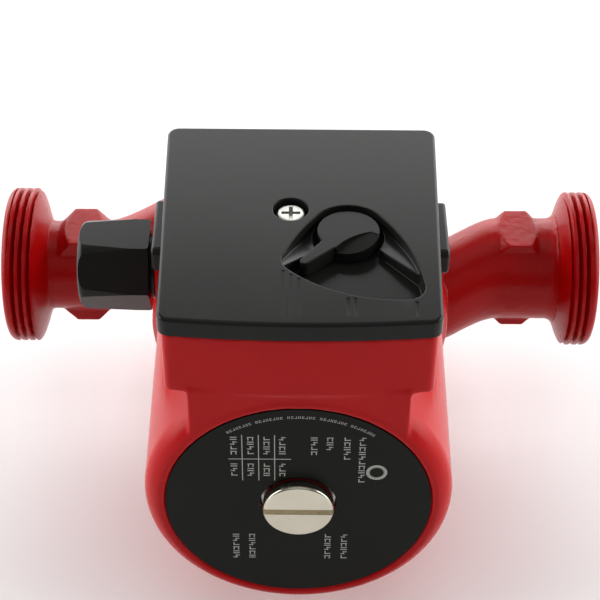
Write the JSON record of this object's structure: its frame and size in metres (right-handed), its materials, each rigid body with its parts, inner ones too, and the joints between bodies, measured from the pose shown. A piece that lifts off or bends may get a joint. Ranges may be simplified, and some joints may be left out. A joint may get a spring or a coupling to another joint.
{
  "type": "circulator pump",
  "caption": "In-line wet-rotor circulator pump: red castings, union threads at both ends, black terminal box with speed knob and cable gland.",
  "frame": {"origin": "centre of the mouth of the inlet bore, in the plane of the inlet union's sealing face", "axes": "+X along the pipe axis in the direction of flow, -Y along the motor axis towards the nameplate, +Z towards the terminal box lid"},
  "size_m": [0.18, 0.1308, 0.114],
  "materials": {
    "red_iron": "red gloss paint on cast iron, fine casting texture",
    "red_aluminium": "red gloss paint on die-cast aluminium",
    "black_plastic": "satin moulded plastic with a fine grain",
    "white_plastic": "satin moulded plastic",
    "grey_plastic": "satin moulded plastic",
    "composite": "moulded glass-filled plastic",
    "stainless": "drawn stainless steel",
    "zinc_steel": "bright zinc plating",
    "lamination_steel": "stacked laminations",
    "plated_brass": "nickel-plated brass, turned",
    "copper": "enamelled copper wire",
    "ceramic": "ground ceramic",
    "carbon": "pressed carbon",
    "seal_rubber": "moulded rubber",
    "label": "black printed plate with plain light lines"
  },
  "bodies": {
    "pump": {"pump_housing": "red_iron", "neck_ring": "stainless", "bearing_plate": "stainless", "front_bearing": "ceramic", "rear_bearing": "ceramic", "rotor_can": "stainless", "housing_gasket": "seal_rubber", "front_seal": "seal_rubber", "stator_core": "lamination_steel", "stator_windings": "copper", "stator_housing": "red_aluminium", "housing_screws": "zinc_steel", "nameplate": "label", "terminal_box_base": "black_plastic", "terminal_box_lid": "black_plastic", "lid_gasket": "seal_rubber", "lid_screw": "zinc_steel", "speed_switch": "white_plastic", "run_capacitor": "grey_plastic", "terminal_block": "white_plastic", "terminal_screws": "plated_brass", "earth_screw": "zinc_steel", "gland_body": "black_plastic", "gland_seal": "seal_rubber", "gland_nut": "black_plastic"},
    "rotor": {"shaft": "ceramic", "rotor_core": "stainless", "impeller": "composite", "impeller_clip": "stainless", "thrust_bearing": "carbon", "thrust_bearing_retainer": "seal_rubber"},
    "knob": {"speed_knob": "black_plastic", "switch_rotor": "white_plastic"},
    "plug_lift": {"vent_plug_seal": "seal_rubber"},
    "plug": {"vent_plug": "plated_brass"}
  },
  "joints": [
    {"name": "rotor_spin", "type": "hinge", "parent": "pump", "child": "rotor", "pos_m": [0.09, 0, 0], "axis": [0, -1, 0], "continuous": true},
    {"name": "speed_select", "type": "hinge", "parent": "pump", "child": "knob", "pos_m": [0.10245, -0.0624, 0.06], "axis": [0, 0, 1], "range_deg": [0, 82]},
    {"name": "vent_plug_lift", "type": "slide", "parent": "pump", "child": "plug_lift", "axis": [0, -1, 0], "range_m": [0, 0.0045]},
    {"name": "vent_plug_turn", "type": "hinge", "parent": "plug_lift", "child": "plug", "pos_m": [0.09, 0, 0], "axis": [0, -1, 0], "range_deg": [0, 1080]}
  ],
  "couplings": [
    {"joint": "vent_plug_turn", "follows": "vent_plug_lift", "rad_per_m": 4188.8}
  ]
}
